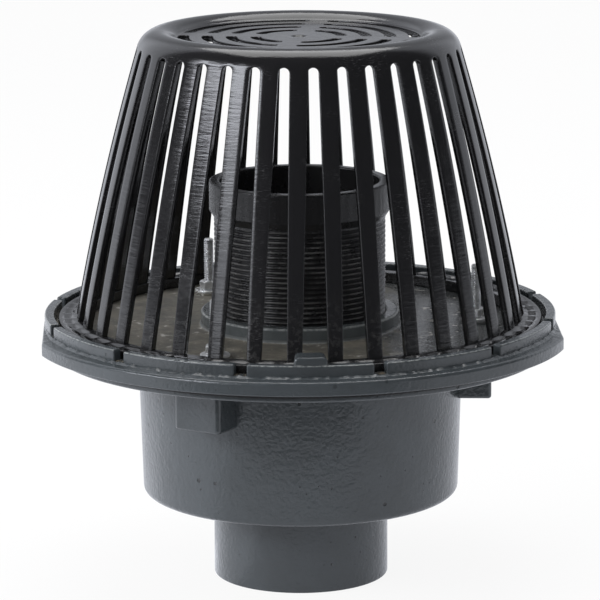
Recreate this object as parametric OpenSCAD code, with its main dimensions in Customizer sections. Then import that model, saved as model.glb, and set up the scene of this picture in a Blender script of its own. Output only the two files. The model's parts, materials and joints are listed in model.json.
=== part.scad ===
// Flat roof drain with an overflow standpipe.
// A cast body with a no-hub outlet carries a clamp plate, which grips the roof membrane.
// The plate has a gravel guard with two hooks, and a hub that the threaded standpipe screws into.
// The dome strainer drops inside the guard and turns under the hooks.
// Millimetres, axis along Z, Z = 0 at the outlet's lower end. The front faces -Y.

/* [Outlet] */
// Outer diameter of the no-hub outlet
outlet_d = 111.25; // [80:0.25:150]
// Wall of the outlet
outlet_wall = 5.3; // [4:0.1:8]
// Length of the outlet below the sump
outlet_l = 55; // [30:1:120]
// Fillet between the outlet and the sump
outlet_fillet = 4; // [2:0.5:6]

/* [Sump] */
// Outer diameter of the sump at its bottom
sump_d = 201; // [180:1:300]
// How much wider the sump is at the flange than at its bottom
sump_draft = 5.4; // [0:0.2:12]
// Height of the sump below the flange
sump_h = 93; // [70:1:160]
// Wall and floor of the sump
sump_wall = 6.5; // [5:0.1:10]
// Rounding of the sump's lower edge
sump_edge = 3; // [1:0.5:5]

/* [Flange and lugs] */
// From the stud circle out to the edge of the flange
flange_margin = 46; // [30:1:70]
// Thickness of the flange
flange_t = 8; // [5:0.5:12]
// From the outer face of the sump out to the stud circle
stud_offset = 8.8; // [7:0.1:14]
// Direction of the first stud, measured from the front towards the right
stud_turn = 92.4; // [0:0.2:120]
// Angle from a stud back to the middle of its lug
lug_shift = 4; // [0:0.5:5]
// Width of a stud lug
lug_w = 32.4; // [22:0.2:40]
// Height of a stud lug below the flange
lug_h = 31; // [25:1:50]
// From the stud's axis to the flat outer face of its lug
lug_edge = 9.5; // [7:0.1:14]
// Rounding of the lug's upright corners
lug_corner = 2; // [0.5:0.5:4]

/* [Studs, nuts and washers] */
// Thread diameter of a stud
stud_d = 6.35; // [5:0.05:8]
// Length that a stud is screwed into the body
stud_depth = 30; // [20:1:36]
// Length of a stud that stands above its nut
stud_stand = 28.3; // [5:0.1:50]
// Width across the flats of a nut
nut_flats = 11.1; // [9.5:0.1:14]
// Height of a nut
nut_h = 5.56; // [4:0.02:7]
// How far each nut is turned about its stud
nut_turns = [8, 31, 52]; // [0:1:60]
// Outer diameter of a washer
washer_d = 18.6; // [15:0.1:20]
// Thickness of a washer
washer_t = 1.6; // [1:0.1:2.5]

/* [Clamp plate] */
// How far the plate's lip overhangs the flange
lip_overhang = 13; // [4:0.5:25]
// Height of the lip's outer edge
lip_h = 7.3; // [5:0.1:10]
// Rounding of the lip's upper edge
lip_edge = 2; // [0.5:0.5:3]
// How far the lip turns down round the flange
lip_drop = 1.1; // [0.3:0.1:4]
// From the guard's outer face out to the flats that trim the lip on its left and right
lip_flat_gap = 0.6; // [0.3:0.1:4]
// Thickness of the plate's floor
plate_t = 6.5; // [5:0.1:9]
// Diameter of the round bosses under the washers
boss_d = 21.3; // [21:0.1:26]
// Height of the bosses above the floor
boss_h = 1.2; // [0.5:0.1:3]

/* [Gravel guard] */
// How far the guard's outer face lies outside the flange's edge
guard_offset = 4; // [0:0.5:8]
// Thickness of the guard
guard_t = 6; // [4:0.1:9]
// Height of the guard above the floor
guard_h = 9.2; // [9:0.1:14]
// Height of the ledge at the foot of the guard, above the floor
ledge_h = 2; // [1.5:0.1:4]
// Rounding of the guard's upper edges
guard_edge = 1.2; // [0.4:0.2:2]
// Number of notches through the guard
notch_count = 12; // [4:2:24]
// Width of a notch
notch_w = 7.5; // [4:0.1:14]
// Rounding where a notch opens at the top
notch_corner = 1; // [0.4:0.2:2]

/* [Hooks] */
// Direction of the first hook, measured from the front towards the right
hook_turn = 2.25; // [-15:0.25:15]
// Width of a hook
hook_w = 20; // [12:0.5:30]
// Thickness of a hook
hook_t = 6.5; // [5:0.1:9]
// How far a hook reaches in over the dome's base ring
hook_reach = 7.3; // [4:0.1:9]
// Rounding of a hook's upper corners
hook_corner = 3; // [1:0.5:4]

/* [Hub] */
// Wall of the hub outside its thread
hub_wall = 8.6; // [6:0.1:12]
// Height of the hub above the floor
hub_h = 9.5; // [6:0.5:20]
// Depth of the hub below the plate
hub_drop = 12; // [6:0.5:20]
// Rounding of the hub's upper edge
hub_edge = 1.5; // [0.5:0.5:3]

/* [Standpipe] */
// Bore of the standpipe
pipe_bore = 101; // [80:0.5:125]
// Wall of the threaded pipe
pipe_wall = 3.8; // [3:0.1:5]
// How far the collar stands out beyond the thread
collar_step = 2.85; // [1.5:0.05:4]
// Height of the collar
collar_h = 18; // [10:0.5:30]
// Height of the sloping face under the collar
collar_slope = 5.3; // [3:0.1:8]
// Height of the rim above the plate's floor
pipe_rise = 92.8; // [70:0.1:130]
// Depth of the pipe's lower end below the plate's floor
pipe_depth = 12.5; // [6:0.5:20]

/* [Dome base ring] */
// Radial width of the base ring
ring_w = 16.3; // [15:0.1:20]
// Thickness of the base ring
ring_t = 6.7; // [5:0.1:9]
// From the ring's outer edge in to the outer face of the bars
bar_inset = 11.3; // [9:0.1:13]
// Number of ratchet teeth on the ring
tooth_count = 60; // [30:2:90]
// From the ring's outer edge in to the ratchet teeth
tooth_inset = 3.8; // [2.5:0.1:5]
// Radial length of a ratchet tooth
tooth_l = 4.5; // [3:0.1:5]
// Depth of a ratchet tooth
tooth_depth = 1.2; // [0.6:0.1:2]
// Share of a tooth's pitch that its ramp takes
tooth_ramp = 0.7; // [0.5:0.05:0.8]
// Angle from a locked hook back to the notch that lets it pass
unlock_turn = 30; // [20:1:60]
// Clearance between a hook and the sides of its notch
unlock_gap = 3; // [1.5:0.1:5]

/* [Dome side] */
// Height of the dome above its base ring
dome_h = 181.5; // [150:0.5:240]
// Wall of the dome
dome_wall = 4; // [3:0.1:6]
// Diameter of the dome's highest circle
crest_d = 175; // [165:1:200]
// Radius of the shoulder between the side and the top
shoulder_r = 14.5; // [10:0.5:20]
// How far the side bulges out from a straight cone
side_bulge = 2.3; // [0:0.1:5]
// Number of bars
bar_count = 36; // [24:1:40]
// Direction of the first bar at its top, measured from the front
bar_turn = -0.2; // [-5:0.1:5]
// Width of a bar at the top
bar_w_top = 10.9; // [8:0.1:12]
// Width of a bar at its foot
bar_w_foot = 9.2; // [8:0.1:14]
// Angle that a bar leans back to the left from top to foot
bar_lean = 1.15; // [0:0.05:2]
// How far the gaps run up above the middle of the shoulder
gap_rise = 1; // [0:0.5:2]
// Height of the gaps' lower ends above the base ring
gap_foot = 0.5; // [0.3:0.1:2]

/* [Dome top] */
// Depth of the dished top below the crest
dish_depth = 4.7; // [2:0.1:6]
// Thickness of the slotted top
top_t = 4; // [3:0.1:6]
// Number of rings of slots
slot_rings = 4; // [2:1:4]
// Outer radius of the outermost ring of slots
slot_r = 75.9; // [65:0.1:76]
// Radial pitch of the rings of slots
slot_pitch = 15.1; // [11:0.1:15.5]
// Width of a slot
slot_w = 7; // [4:0.1:9]
// Number of spokes between the slots
spoke_count = 4; // [3:1:6]
// Width of a spoke
spoke_w = 11.5; // [8:0.1:14]
// Direction of the first spoke, measured from the front
spoke_turn = -10; // [-45:1:45]
// Radius of the moulding gate's dimple in the middle
gate_r = 4.5; // [2:0.1:8]
// Depth of the gate's dimple
gate_depth = 0.8; // [0.3:0.1:1.5]

/* [Clearances] */
// Radial running clearance of the standpipe's thread in the hub
thread_fit = 0.08; // [0.02:0.01:0.1]
// Radial clearance of a stud in its lug and its nut
stud_fit = 0.05; // [0.02:0.01:0.1]
// Radial clearance of a stud in its washer
washer_gap = 0.395; // [0.1:0.005:1]
// Radial clearance of a stud in the clamp plate
stud_gap = 0.9; // [0.3:0.1:1.5]
// Height of the dome's base ring above the plate's floor
seat_gap = 0.3; // [0.2:0.1:1]
// Radial clearance between the flange's edge and the lip that turns down round it
lip_gap = 2; // [0.5:0.1:2.5]
// Radial clearance between the base ring and the guard
guard_gap = 2.7; // [1:0.1:5]
// Height of the hooks above the base ring
hook_gap = 0.5; // [0.3:0.1:1]

/* [Hidden] */
$fn = 96;

front = -90;
stud_count = 3;
hook_count = 2;
small_edge = 1;
cut = 1;

outlet_r = outlet_d / 2;
outlet_bore_r = outlet_r - outlet_wall;
sump_r = sump_d / 2;
sump_top_r = sump_r + sump_draft / 2;
sump_floor_z = outlet_l + sump_wall;
flange_z = outlet_l + sump_h;
plate_z = flange_z + flange_t;
floor_z = plate_z + plate_t;

stud_circle_r = sump_top_r + stud_offset;
stud_r = stud_d / 2;
stud_z = plate_z - stud_depth;
flange_r = stud_circle_r + flange_margin;

washer_z = floor_z + boss_h;
nut_z = washer_z + washer_t;
stud_top_z = nut_z + nut_h + stud_stand;

plate_r = flange_r + lip_overhang;
lip_in_r = flange_r + lip_gap;
lip_z = plate_z - lip_drop;
guard_r = flange_r + guard_offset;
guard_in_r = guard_r - guard_t;
guard_z = floor_z + guard_h;
ledge_z = floor_z + ledge_h;

pipe_bore_r = pipe_bore / 2;
thread_r = pipe_bore_r + pipe_wall;
collar_r = thread_r + collar_step;
pipe_z = floor_z - pipe_depth;
pipe_top_z = floor_z + pipe_rise;
hub_bore_r = thread_r + thread_fit;
hub_r = hub_bore_r + hub_wall;
hub_z = plate_z - hub_drop;
hub_top_z = floor_z + hub_h;

ring_z = floor_z + seat_gap;
ring_top_z = ring_z + ring_t;
ring_r = guard_in_r - guard_gap;
hook_z = ring_top_z + hook_gap;
hook_in_r = ring_r - hook_reach;

foot_r = ring_r - bar_inset;
crest_z = ring_top_z + dome_h;
crest_r = crest_d / 2;
shoulder_z = crest_z - shoulder_r;
shoulder_in_r = shoulder_r - dome_wall;
dish_z = crest_z - dish_depth;
dish_under_z = dish_z - top_t;

// Angle of the side's upper end, where a straight cone would touch the shoulder's arc.
side_rise = shoulder_z - ring_top_z;
side_run = foot_r - crest_r;
side_angle = atan2(side_run, side_rise) - asin(shoulder_r / norm([side_run, side_rise]));
// Angles at which the dished top and its underside leave the shoulder's arcs.
dish_angle = 180 - asin(1 - dish_depth / shoulder_r);
dish_under_angle = 180 - asin((dish_under_z - shoulder_z) / shoulder_in_r);

// Points of an arc from angle a to angle b.
function arc(centre, r, a, b, steps) =
    [for (i = [0:steps]) centre + r * [cos(a + (b - a) * i / steps), sin(a + (b - a) * i / steps)]];

// Points of the bulging side from its foot to the shoulder, set in by a depth.
function side(depth, steps) =
    let (lean = [cos(side_angle), sin(side_angle)],
         foot = [foot_r, ring_top_z],
         top = [crest_r, shoulder_z] + shoulder_r * lean)
    [for (i = [0:steps])
        let (t = i / steps)
        foot + (top - foot) * t + (side_bulge * 4 * t * (1 - t) - depth) * lean];

// Turns a flat outline upright, so that it faces outwards at radius r, and extrudes it outwards.
module outwards(r, depth) {
    translate([r, 0, 0])
        rotate([90, 0, 90])
            linear_extrude(height = depth)
                children();
}

// Places children at each stud.
module at_stud(index) {
    rotate(front + stud_turn + index * 360 / stud_count)
        translate([stud_circle_r, 0, 0])
            children();
}

// Places children at each hook.
module at_hooks() {
    for (i = [0:hook_count - 1])
        rotate(front + hook_turn + i * 360 / hook_count)
            children();
}

// Outer outline of the body, filled to the axis.
module body_outline() {
    polygon(concat(
        [[0, 0], [outlet_r - small_edge, 0], [outlet_r, small_edge]],
        arc([outlet_r + outlet_fillet, outlet_l - outlet_fillet], outlet_fillet, 180, 90, 4),
        arc([sump_r - sump_edge, outlet_l + sump_edge], sump_edge, -90, 0, 4),
        [[sump_top_r, flange_z],
         [flange_r - small_edge, flange_z], [flange_r, flange_z + small_edge],
         [flange_r, plate_z], [0, plate_z]]));
}

// Outline of the space inside the body: the bore, the sump's floor and its wall.
module body_cavity() {
    wall_r = sump_r - sump_wall;
    polygon(concat(
        [[0, -cut], [outlet_bore_r, -cut]],
        arc([outlet_bore_r + sump_edge, sump_floor_z - sump_edge], sump_edge, 180, 90, 4),
        arc([wall_r - sump_edge, sump_floor_z + sump_edge], sump_edge, -90, 0, 4),
        [[sump_top_r - sump_wall, plate_z], [sump_top_r - sump_wall, plate_z + cut],
         [0, plate_z + cut]]));
}

// Stud lug under the flange, with a flat outer face and rounded upright corners.
module lug() {
    face = stud_circle_r + lug_edge;
    translate([0, 0, flange_z - lug_h])
        linear_extrude(height = lug_h + cut) {
            translate([0, -lug_w / 2])
                square([face - lug_corner, lug_w]);
            translate([0, lug_corner - lug_w / 2])
                square([face, lug_w - 2 * lug_corner]);
            for (side = [-1, 1])
                translate([face - lug_corner, side * (lug_w / 2 - lug_corner)])
                    circle(r = lug_corner);
        }
}

module drain_body() color("slategray") {
    difference() {
        union() {
            rotate_extrude()
                body_outline();
            for (i = [0:stud_count - 1])
                rotate(front + stud_turn - lug_shift + i * 360 / stud_count)
                    lug();
        }
        rotate_extrude()
            body_cavity();
        for (i = [0:stud_count - 1])
            at_stud(i)
                translate([0, 0, stud_z - cut])
                    cylinder(r = stud_r + stud_fit, h = stud_depth + 2 * cut);
    }
}

module stud(index) color("gainsboro") {
    chamfer = stud_d / 10;
    at_stud(index)
        rotate_extrude()
            polygon([[0, stud_z], [stud_r - chamfer, stud_z], [stud_r, stud_z + chamfer],
                     [stud_r, stud_top_z - chamfer], [stud_r - chamfer, stud_top_z],
                     [0, stud_top_z]]);
}

module washer(index) color("silver") {
    at_stud(index)
        translate([0, 0, washer_z])
            difference() {
                cylinder(d = washer_d, h = washer_t);
                translate([0, 0, -cut])
                    cylinder(r = stud_r + washer_gap, h = washer_t + 2 * cut);
            }
}

// Hexagon nut with its corners chamfered on both faces.
module nut(index) color("silver") {
    corner_r = nut_flats / 2 / cos(30);
    flat_r = nut_flats / 2;
    chamfer = (corner_r - flat_r) * tan(30);
    at_stud(index)
        translate([0, 0, nut_z])
            rotate(nut_turns[index])
                difference() {
                    intersection() {
                        cylinder(r = corner_r, h = nut_h, $fn = 6);
                        rotate_extrude()
                            polygon([[0, 0], [flat_r, 0], [corner_r, chamfer],
                                     [corner_r, nut_h - chamfer], [flat_r, nut_h], [0, nut_h]]);
                    }
                    translate([0, 0, -cut])
                        cylinder(r = stud_r + stud_fit, h = nut_h + 2 * cut);
                }
}

// Section of the clamp plate: lip, ledge, guard, floor and hub.
module plate_section() {
    polygon(concat(
        [[hub_bore_r, hub_z], [hub_r - small_edge, hub_z], [hub_r, hub_z + small_edge],
         [hub_r, plate_z], [lip_in_r, plate_z], [lip_in_r, lip_z],
         [plate_r - small_edge, lip_z], [plate_r, lip_z + small_edge]],
        arc([plate_r - lip_edge, plate_z + lip_h - lip_edge], lip_edge, 0, 80, 3),
        [[guard_r, ledge_z]],
        arc([guard_r - guard_edge, guard_z - guard_edge], guard_edge, 0, 90, 3),
        arc([guard_in_r + guard_edge, guard_z - guard_edge], guard_edge, 90, 180, 3),
        [[guard_in_r, floor_z], [hub_r, floor_z]],
        arc([hub_r - hub_edge, hub_top_z - hub_edge], hub_edge, 0, 90, 3),
        [[hub_bore_r + small_edge, hub_top_z], [hub_bore_r, hub_top_z - small_edge]]));
}

// Outline of a guard notch, which flares at the top of the guard.
module notch_outline() {
    height = guard_h - ledge_h + cut;
    translate([-notch_w / 2, ledge_z])
        square([notch_w, height]);
    difference() {
        translate([-notch_w / 2 - notch_corner, guard_z - notch_corner])
            square([notch_w + 2 * notch_corner, notch_corner + cut]);
        for (side = [-1, 1])
            translate([side * (notch_w / 2 + notch_corner), guard_z - notch_corner])
                circle(r = notch_corner);
    }
}

// Outline of a hook as it is seen from outside, from the guard's foot to the hook's top.
module hook_outline() {
    top_z = hook_z + hook_t;
    translate([-hook_w / 2, ledge_z])
        square([hook_w, top_z - hook_corner - ledge_z]);
    translate([hook_corner - hook_w / 2, ledge_z])
        square([hook_w - 2 * hook_corner, top_z - ledge_z]);
    for (side = [-1, 1])
        translate([side * (hook_w / 2 - hook_corner), top_z - hook_corner])
            circle(r = hook_corner);
}

// Hook: part of the guard's ring, raised, that reaches in above the dome's base ring.
module hook() {
    intersection() {
        outwards(hook_in_r - cut, guard_r - hook_in_r + 2 * cut)
            hook_outline();
        rotate_extrude()
            polygon([[hook_in_r, hook_z], [guard_in_r, hook_z], [guard_in_r, ledge_z],
                     [guard_r - guard_edge / 2, ledge_z],
                     [guard_r - guard_edge / 2, hook_z + hook_t], [hook_in_r, hook_z + hook_t]]);
    }
}

module clamp_plate() color("dimgray") {
    notch_step = 360 / notch_count;
    flat_x = guard_r + lip_flat_gap;
    difference() {
        union() {
            difference() {
                rotate_extrude()
                    plate_section();
                for (i = [0:notch_count - 1])
                    rotate(front + hook_turn + (i + 0.5) * notch_step)
                        outwards(guard_in_r - cut, guard_t + 2 * cut)
                            notch_outline();
            }
            at_hooks()
                hook();
            for (i = [0:stud_count - 1])
                at_stud(i)
                    translate([0, 0, floor_z - cut])
                        cylinder(d = boss_d, h = boss_h + cut);
        }
        for (i = [0:stud_count - 1])
            at_stud(i)
                translate([0, 0, plate_z - cut])
                    cylinder(r = stud_r + stud_gap, h = plate_t + boss_h + 2 * cut);
        for (side = [0, 180])
            rotate(front + hook_turn + 90 + side)
                translate([flat_x, -plate_r, lip_z - cut])
                    cube([plate_r, 2 * plate_r, guard_z - lip_z + 2 * cut]);
    }
}

module overflow_standpipe() color([0.12, 0.12, 0.13]) {
    slope_z = pipe_top_z - collar_h - collar_slope;
    rotate_extrude()
        polygon([[pipe_bore_r, pipe_z], [thread_r - small_edge, pipe_z],
                 [thread_r, pipe_z + small_edge], [thread_r, slope_z],
                 [collar_r, slope_z + collar_slope], [collar_r, pipe_top_z - small_edge],
                 [collar_r - small_edge, pipe_top_z], [pipe_bore_r + small_edge, pipe_top_z],
                 [pipe_bore_r, pipe_top_z - small_edge]]);
}

// Section of the dome: base ring, side, shoulder and dished top, all of one wall.
module dome_section() {
    centre = [crest_r, shoulder_z];
    polygon(concat(
        side(0, 4),
        arc(centre, shoulder_r, side_angle, dish_angle, 6),
        [[0, dish_z], [0, dish_under_z]],
        arc(centre, shoulder_in_r, dish_under_angle, side_angle, 6),
        [for (i = [4:-1:0]) side(dome_wall, 4)[i]],
        [[foot_r - dome_wall, ring_z + small_edge], [foot_r, ring_z + small_edge]]));
    polygon([[ring_r - ring_w, ring_z], [ring_r, ring_z], [ring_r, ring_top_z - small_edge],
             [ring_r - small_edge, ring_top_z], [ring_r - ring_w, ring_top_z]]);
}

// Gap between two leaning bars, as it is seen from outside, with a round upper end.
module gap_outline() {
    half_pitch = 180 / bar_count;
    round_z = shoulder_z + gap_rise;
    top_r = crest_r + shoulder_r;
    half_w = top_r * sin(half_pitch) - bar_w_top / 2;
    left = foot_r * sin(half_pitch + bar_lean) - bar_w_foot / 2;
    right = foot_r * sin(half_pitch - bar_lean) - bar_w_foot / 2;
    polygon(concat([[-left, ring_top_z + gap_foot], [right, ring_top_z + gap_foot]],
                   arc([0, round_z], half_w, 0, 180, 8)));
}

// Ratchet tooth: a wedge that is steep on its right and ramps up to the left.
module tooth_outline() {
    pitch = (ring_r - tooth_inset - tooth_l / 2) * sin(360 / tooth_count);
    ramp = tooth_ramp * pitch;
    polygon([[-ramp, ring_top_z + cut], [-ramp, ring_top_z], [0, ring_top_z - tooth_depth],
             [tooth_depth / 2, ring_top_z + cut]]);
}

// One slot of a ring, between two spokes, with round ends.
module ring_slot(r) {
    half_w = slot_w / 2;
    end_angle = asin((spoke_w / 2 + half_w) / r);
    sweep = 360 / spoke_count - 2 * end_angle;
    translate([0, 0, dish_under_z - cut])
        rotate(end_angle)
            linear_extrude(height = top_t + 2 * cut)
                polygon(concat(
                    arc([0, 0], r + half_w, 0, sweep, 12),
                    arc(r * [cos(sweep), sin(sweep)], half_w, sweep, sweep + 180, 5),
                    arc([0, 0], r - half_w, sweep, 0, 12),
                    arc([r, 0], half_w, 180, 360, 5)));
}

module dome_strainer() color([0.1, 0.1, 0.11]) {
    gap_in_r = crest_r + shoulder_in_r / 2;
    notch_in_r = hook_in_r - unlock_gap / 2;
    difference() {
        rotate_extrude()
            dome_section();
        for (i = [0:bar_count - 1])
            rotate(front + bar_turn + (i + 0.5) * 360 / bar_count)
                outwards(gap_in_r, foot_r - gap_in_r + side_bulge + cut)
                    gap_outline();
        for (i = [0:slot_rings - 1], k = [0:spoke_count - 1])
            rotate(front + spoke_turn + k * 360 / spoke_count)
                ring_slot(slot_r - slot_w / 2 - i * slot_pitch);
        for (i = [0:tooth_count - 1])
            rotate(i * 360 / tooth_count)
                outwards(ring_r - tooth_inset - tooth_l, tooth_l)
                    tooth_outline();
        at_hooks()
            rotate(-unlock_turn)
                translate([notch_in_r, -hook_w / 2 - unlock_gap, ring_z - cut])
                    cube([ring_w, hook_w + 2 * unlock_gap, ring_t + 2 * cut]);
        translate([0, 0, dish_z - gate_depth])
            cylinder(r = gate_r, h = gate_depth + cut);
    }
}

dome_strainer();
overflow_standpipe();
nut(0);  // clamp_nut_1
nut(1);  // clamp_nut_2
nut(2);  // clamp_nut_3
washer(0);  // washer_1
washer(1);  // washer_2
washer(2);  // washer_3
clamp_plate();
stud(0);  // stud_1
stud(1);  // stud_2
stud(2);  // stud_3
drain_body();
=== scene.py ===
"""Flat roof drain: a painted iron body and clamp plate, a threaded standpipe and a dome strainer.

Everything is in metres, with the drain's axis on Z, its outlet's lower end at Z = 0 and its
front facing -Y. Angles are mathematical: 0 is +X and -90 degrees is the front.
"""
import json
import math

import bmesh
import bpy
import numpy as np
from mathutils import Matrix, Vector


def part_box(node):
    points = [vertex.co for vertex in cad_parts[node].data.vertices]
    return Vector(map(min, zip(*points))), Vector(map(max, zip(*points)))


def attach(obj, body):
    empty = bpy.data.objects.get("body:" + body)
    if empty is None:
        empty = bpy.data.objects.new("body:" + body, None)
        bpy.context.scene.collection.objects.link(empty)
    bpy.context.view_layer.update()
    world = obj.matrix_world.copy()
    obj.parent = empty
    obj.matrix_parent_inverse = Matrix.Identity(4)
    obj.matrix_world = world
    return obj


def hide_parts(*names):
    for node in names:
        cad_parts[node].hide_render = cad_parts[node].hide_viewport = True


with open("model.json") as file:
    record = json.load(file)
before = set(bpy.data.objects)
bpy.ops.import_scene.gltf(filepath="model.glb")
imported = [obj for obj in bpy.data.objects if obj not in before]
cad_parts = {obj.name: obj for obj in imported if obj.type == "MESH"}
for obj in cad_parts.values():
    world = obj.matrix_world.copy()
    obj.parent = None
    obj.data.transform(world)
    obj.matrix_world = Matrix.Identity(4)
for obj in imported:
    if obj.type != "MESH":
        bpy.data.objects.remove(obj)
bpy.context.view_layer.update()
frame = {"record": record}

mm = 0.001
front = math.radians(-90)


# ---------------------------------------------------------------- camera, floor and light
# A product table in a studio: a long lens a little above the drain, a large softbox overhead
# and a smaller one on each side. The table is white as far as its edge, just in front of the
# drain, and the room has white walls left, right and behind, and is dim on the camera's side.

camera_back = 2300 * mm
camera_height = 666.5 * mm
camera_pitch = math.radians(12.006)
camera_roll = math.radians(0.237)
camera_lens = 222.1


def camera_axes(pitch, roll):
    """Columns right, up and backward of a camera that looks along +Y, tipped down and rolled."""
    level_right = np.array([1.0, 0.0, 0.0])
    level_up = np.array([0.0, math.sin(pitch), math.cos(pitch)])
    back = np.array([0.0, -math.cos(pitch), math.sin(pitch)])
    right = level_right * math.cos(roll) - level_up * math.sin(roll)
    up = level_right * math.sin(roll) + level_up * math.cos(roll)
    return np.stack([right, up, back], axis=1)


camera_data = bpy.data.cameras.new("camera")
camera_data.lens = camera_lens
camera_data.sensor_width = 36
camera_data.clip_end = 100
camera = bpy.data.objects.new("camera", camera_data)
placing = np.eye(4)
placing[:3, :3] = camera_axes(camera_pitch, camera_roll)
placing[:3, 3] = [0, -camera_back, camera_height]
camera.matrix_world = Matrix(placing.tolist())
bpy.context.scene.collection.objects.link(camera)
bpy.context.scene.camera = camera
bpy.context.scene.view_settings.view_transform = "Standard"


def add_node(tree, kind, **values):
    """Adds a shader node and sets its properties or, by name, the values of its inputs."""
    made = tree.nodes.new(kind)
    for name, value in values.items():
        socket = made.inputs.get(name)
        if hasattr(made, name):
            setattr(made, name, value)
        elif socket is not None:
            socket.default_value = value
    return made


def split(tree, vector):
    """The three parts of a vector or colour."""
    made = add_node(tree, "ShaderNodeSeparateXYZ")
    tree.links.new(vector, made.inputs[0])
    return made.outputs


def calc(tree, operation, a, b=0.0):
    """A Math node on sockets or numbers."""
    made = add_node(tree, "ShaderNodeMath", operation=operation)
    for value, socket in zip((a, b), made.inputs):
        if isinstance(value, (int, float)):
            socket.default_value = value
        else:
            tree.links.new(value, socket)
    return made.outputs[0]


def ramp(tree, value, low, high, to_low=0.0, to_high=1.0):
    """A smooth step from to_low to to_high as the value goes from low to high."""
    made = add_node(tree, "ShaderNodeMapRange", interpolation_type="SMOOTHSTEP")
    tree.links.new(value, made.inputs["Value"])
    for title, number in (("From Min", low), ("From Max", high), ("To Min", to_low), ("To Max", to_high)):
        made.inputs[title].default_value = number
    return made.outputs["Result"]


def mix_colour(tree, factor, a, b):
    """A colour between a and b, each a socket or (red, green, blue)."""
    made = add_node(tree, "ShaderNodeMix", data_type="RGBA")
    tree.links.new(factor, made.inputs["Factor"])
    for value, socket in ((a, made.inputs[6]), (b, made.inputs[7])):
        if isinstance(value, tuple):
            socket.default_value = (*value, 1)
        else:
            tree.links.new(value, socket)
    return made.outputs[2]


def shader_group(name, inputs, outputs):
    """A new shader node group with named sockets, and its inner input and output nodes."""
    tree = bpy.data.node_groups.new(name, "ShaderNodeTree")
    for title, kind in inputs.items():
        tree.interface.new_socket(name=title, in_out="INPUT", socket_type=kind)
    for title, kind in outputs.items():
        tree.interface.new_socket(name=title, in_out="OUTPUT", socket_type=kind)
    return tree, tree.nodes.new("NodeGroupInput"), tree.nodes.new("NodeGroupOutput")


def softbox(name, place, target, size, power, mirrored=True):
    """A rectangular area lamp that faces a target point."""
    lamp = bpy.data.lights.new(name, "AREA")
    lamp.shape = "RECTANGLE"
    lamp.size, lamp.size_y = size
    lamp.energy = power
    back = np.array(place) - np.array(target)
    back = back / np.linalg.norm(back)
    helper = np.array([0, 0, 1.0]) if abs(back[2]) < 0.9 else np.array([0, 1.0, 0])
    right = np.cross(helper, back)
    right = right / np.linalg.norm(right)
    turn = np.eye(4)
    turn[:3, :3] = np.stack([right, np.cross(back, right), back], axis=1)
    turn[:3, 3] = place
    lamp_object = bpy.data.objects.new(name, lamp)
    lamp_object.matrix_world = Matrix(turn.tolist())
    lamp_object.visible_glossy = mirrored
    bpy.context.scene.collection.objects.link(lamp_object)


middle = [0, 0, 0.2]
softbox("softbox_top", [0.0, 0.5, 1.9], middle, (1.4, 1.4), 24)
softbox("softbox_left", [-1.95, -0.25, 0.95], middle, (0.9, 0.9), 20, mirrored=False)
softbox("softbox_right", [1.9, 0.05, 0.5], middle, (0.3, 0.6), 4, mirrored=False)

# How bright the room is towards each side. The left and right walls reach up to the eye's
# height. The rear one is brighter low down and in its corners. On the left a bright panel hangs
# above a narrow window. Level is the light from every side, and Table is the table's own.
room_sides, group_in, group_out = shader_group(
    "room_sides",
    {"Direction": "NodeSocketVector", "Level": "NodeSocketFloat", "Table": "NodeSocketFloat"},
    {"Strength": "NodeSocketFloat"})
towards = split(room_sides, group_in.outputs["Direction"])


def side(axis, start, end, strength=1.0):
    """A smooth step along one axis of the direction, up to a strength."""
    return ramp(room_sides, towards[axis], start, end, 0.0, strength)


def joined(operation, first, *others):
    """The largest, the product or the sum of several values."""
    for value in others:
        first = calc(room_sides, operation, first, value)
    return first


below_eye = side("Z", 0.12, 0.0)
left_wall = joined("MULTIPLY", side("X", -0.62, -0.85, 1.5), below_eye)
right_wall = joined("MULTIPLY", side("X", 0.55, 0.8, 0.85), below_eye)
rear = side("Y", 0.30, 0.50)
rear_wall = joined("MULTIPLY", rear, 0.42)
rear_foot = joined("MULTIPLY", rear, side("Z", 0.17, 0.08, 0.75))
corners = joined("MAXIMUM", side("X", -0.08, -0.5, 1.1), side("X", 0.08, 0.5, 0.8))
rear_corners = joined("MULTIPLY", corners, rear)
window = joined("MULTIPLY", side("X", -0.52, -0.58, 3.2), side("X", -0.75, -0.69),
                side("Y", -0.45, -0.55), side("Z", 0.06, 0.14))
panel = joined("MULTIPLY", side("X", -0.52, -0.58, 11.0), side("Y", 0.0, -0.25),
               side("Z", 0.25, 0.35), side("Z", 0.60, 0.48))
brightest = joined("MAXIMUM", left_wall, right_wall, rear_wall, rear_foot, rear_corners, window, panel,
                   group_in.outputs["Table"])
room_sides.links.new(joined("ADD", brightest, group_in.outputs["Level"]), group_out.inputs["Strength"])

mirrored_level = 0.04
lighting_level = 0.66


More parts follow.
